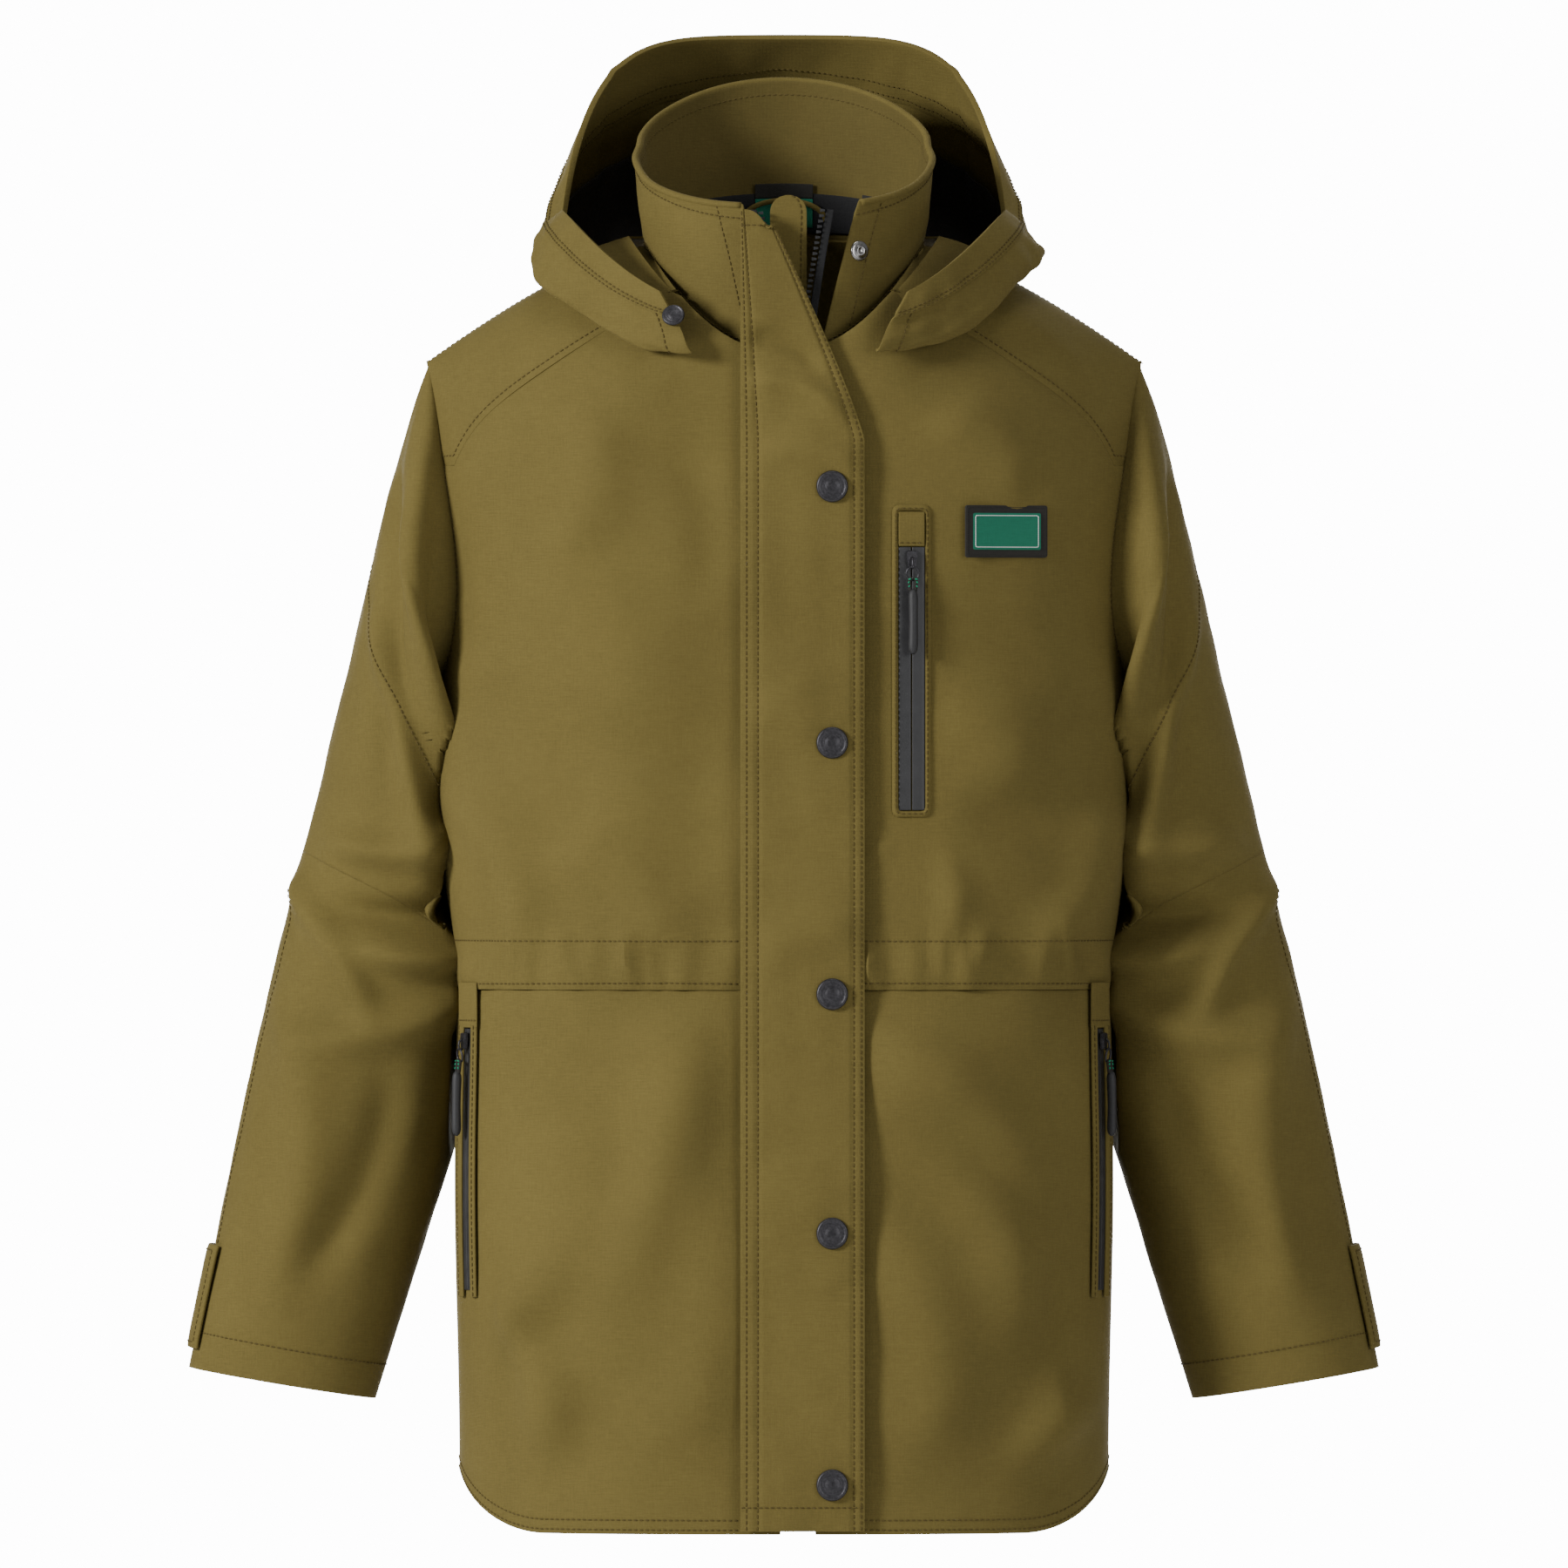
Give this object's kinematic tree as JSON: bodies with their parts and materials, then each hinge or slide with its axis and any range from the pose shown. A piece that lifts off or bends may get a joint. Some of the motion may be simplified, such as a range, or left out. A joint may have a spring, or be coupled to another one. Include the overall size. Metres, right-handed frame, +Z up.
{
  "type": "hooded outdoor jacket",
  "caption": "Hooded waterproof jacket with stand collar, snap-closed storm flap over a front zip, chest and hand pockets and cuff tabs.",
  "frame": {"origin": "top inside of the hanger loop at the back neck, where a hook or peg carries the jacket", "axes": "+Z up, -Y towards the jacket's front, +X towards the wearer's left"},
  "size_m": [0.6798, 0.3144, 0.8569],
  "materials": {
    "outer_cloth": "matt woven cotton-like waterproof cloth",
    "lining": "satin",
    "zip_tape": "matt",
    "zip_plastic": "satin",
    "snap_metal": "dark gunmetal",
    "stud_metal": "satin",
    "puller_rubber": "matt",
    "badge": "woven"
  },
  "bodies": {
    "torso": {"back_panel": "outer_cloth", "back_skirt": "outer_cloth", "body_lining": "lining", "chest_garage": "outer_cloth", "chest_patch": "badge", "chest_pocket_bag": "lining", "chest_welt": "outer_cloth", "chest_zip_tape": "zip_tape", "collar": "outer_cloth", "collar_lining": "outer_cloth", "front_panel_left": "outer_cloth", "front_panel_right": "outer_cloth", "front_skirt_left": "outer_cloth", "front_skirt_right": "outer_cloth", "hand_garage_left": "outer_cloth", "hand_garage_right": "outer_cloth", "hand_pocket_bag_left": "lining", "hand_pocket_bag_right": "lining", "hand_zip_tape_left": "zip_tape", "hand_zip_tape_right": "zip_tape", "hanger_loop": "outer_cloth", "neck_tape": "zip_tape", "shoulder_yoke_left": "outer_cloth", "shoulder_yoke_right": "outer_cloth", "snap_stud_1": "stud_metal", "snap_stud_2": "stud_metal", "snap_stud_3": "stud_metal", "snap_stud_4": "stud_metal", "snap_stud_5": "stud_metal", "waist_casing": "outer_cloth", "zip_guard": "outer_cloth", "zip_tape_left": "zip_tape", "zip_tape_right": "zip_tape", "zip_teeth_left": "zip_plastic", "zip_teeth_right": "zip_plastic"},
    "storm_flap": {"storm_flap": "outer_cloth", "snap_cap_1": "snap_metal", "snap_cap_2": "snap_metal", "snap_cap_3": "snap_metal", "snap_cap_4": "snap_metal", "snap_cap_5": "snap_metal"},
    "hood": {"hood_crown": "outer_cloth", "hood_side_left": "outer_cloth", "hood_side_right": "outer_cloth", "hood_brim": "outer_cloth", "hood_lining": "lining"},
    "sleeve_right": {"upper_sleeve_right": "outer_cloth"},
    "forearm_right": {"lower_sleeve_right": "outer_cloth"},
    "tab_right": {"cuff_tab_right": "outer_cloth"},
    "sleeve_left": {"upper_sleeve_left": "outer_cloth"},
    "forearm_left": {"lower_sleeve_left": "outer_cloth"},
    "tab_left": {"cuff_tab_left": "outer_cloth"},
    "front_slider": {"front_slider": "zip_plastic"},
    "front_puller": {"front_puller": "snap_metal"},
    "chest_slider": {"chest_slider": "snap_metal"},
    "chest_puller": {"chest_puller": "puller_rubber"},
    "hand_slider_right": {"hand_slider_right": "snap_metal"},
    "hand_puller_right": {"hand_puller_right": "puller_rubber"},
    "hand_slider_left": {"hand_slider_left": "snap_metal"},
    "hand_puller_left": {"hand_puller_left": "puller_rubber"}
  },
  "joints": [
    {"name": "storm_flap_hinge", "type": "hinge", "parent": "torso", "child": "storm_flap", "pos_m": [-0.025, -0.18897, -0.4656], "axis": [0, -0.0286, -0.9996], "range_deg": [0, 110]},
    {"name": "hood_tilt", "type": "hinge", "parent": "torso", "child": "hood", "pos_m": [0, 0.035, -0.0146], "axis": [-1, 0, 0], "range_deg": [0, 15]},
    {"name": "shoulder_right", "type": "hinge", "parent": "torso", "child": "sleeve_right", "pos_m": [-0.2025, -0.0645, -0.0976], "axis": [0, 1, 0], "range_deg": [0, 20]},
    {"name": "elbow_right", "type": "hinge", "parent": "sleeve_right", "child": "forearm_right", "pos_m": [-0.22, -0.105, -0.4041], "axis": [-0.874, 0, 0.486], "range_deg": [0, 40]},
    {"name": "cuff_tab_right_peel", "type": "hinge", "parent": "forearm_right", "child": "tab_right", "pos_m": [-0.32159, -0.0094, -0.63277], "axis": [-0.2171, -0.13, -0.9674], "range_deg": [0, 80]},
    {"name": "shoulder_left", "type": "hinge", "parent": "torso", "child": "sleeve_left", "pos_m": [0.2025, -0.0645, -0.0976], "axis": [0, -1, 0], "range_deg": [0, 20]},
    {"name": "elbow_left", "type": "hinge", "parent": "sleeve_left", "child": "forearm_left", "pos_m": [0.22, -0.105, -0.4041], "axis": [-0.874, 0, -0.486], "range_deg": [0, 40]},
    {"name": "cuff_tab_left_peel", "type": "hinge", "parent": "forearm_left", "child": "tab_left", "pos_m": [0.32159, -0.0094, -0.63277], "axis": [-0.2171, 0.13, 0.9674], "range_deg": [0, 80]},
    {"name": "front_zip", "type": "slide", "parent": "torso", "child": "front_slider", "axis": [0, -0.0286, -0.9996], "range_m": [0, 0.58]},
    {"name": "front_puller_swing", "type": "hinge", "parent": "front_slider", "child": "front_puller", "pos_m": [0.008, -0.17442, -0.11259], "axis": [-1, 0, 0], "range_deg": [0, 5]},
    {"name": "chest_zip", "type": "slide", "parent": "torso", "child": "chest_slider", "axis": [0, -0.0276, -0.9996], "range_m": [0, 0.12]},
    {"name": "chest_puller_swing", "type": "hinge", "parent": "chest_slider", "child": "chest_puller", "pos_m": [0.073, -0.1806, -0.21262], "axis": [-0.9902, -0.14, 0], "range_deg": [0, 110]},
    {"name": "hand_zip_right", "type": "slide", "parent": "torso", "child": "hand_slider_right", "axis": [0, -0.0125, -0.9999], "range_m": [0, 0.115]},
    {"name": "hand_puller_right_swing", "type": "hinge", "parent": "hand_slider_right", "child": "hand_puller_right", "pos_m": [-0.18518, -0.12005, -0.4886], "axis": [-0.4106, 0.9118, 0], "range_deg": [0, 100]},
    {"name": "hand_zip_left", "type": "slide", "parent": "torso", "child": "hand_slider_left", "axis": [0, -0.0125, -0.9999], "range_m": [0, 0.115]},
    {"name": "hand_puller_left_swing", "type": "hinge", "parent": "hand_slider_left", "child": "hand_puller_left", "pos_m": [0.18518, -0.12005, -0.4886], "axis": [-0.4106, -0.9118, 0], "range_deg": [0, 100]}
  ]
}
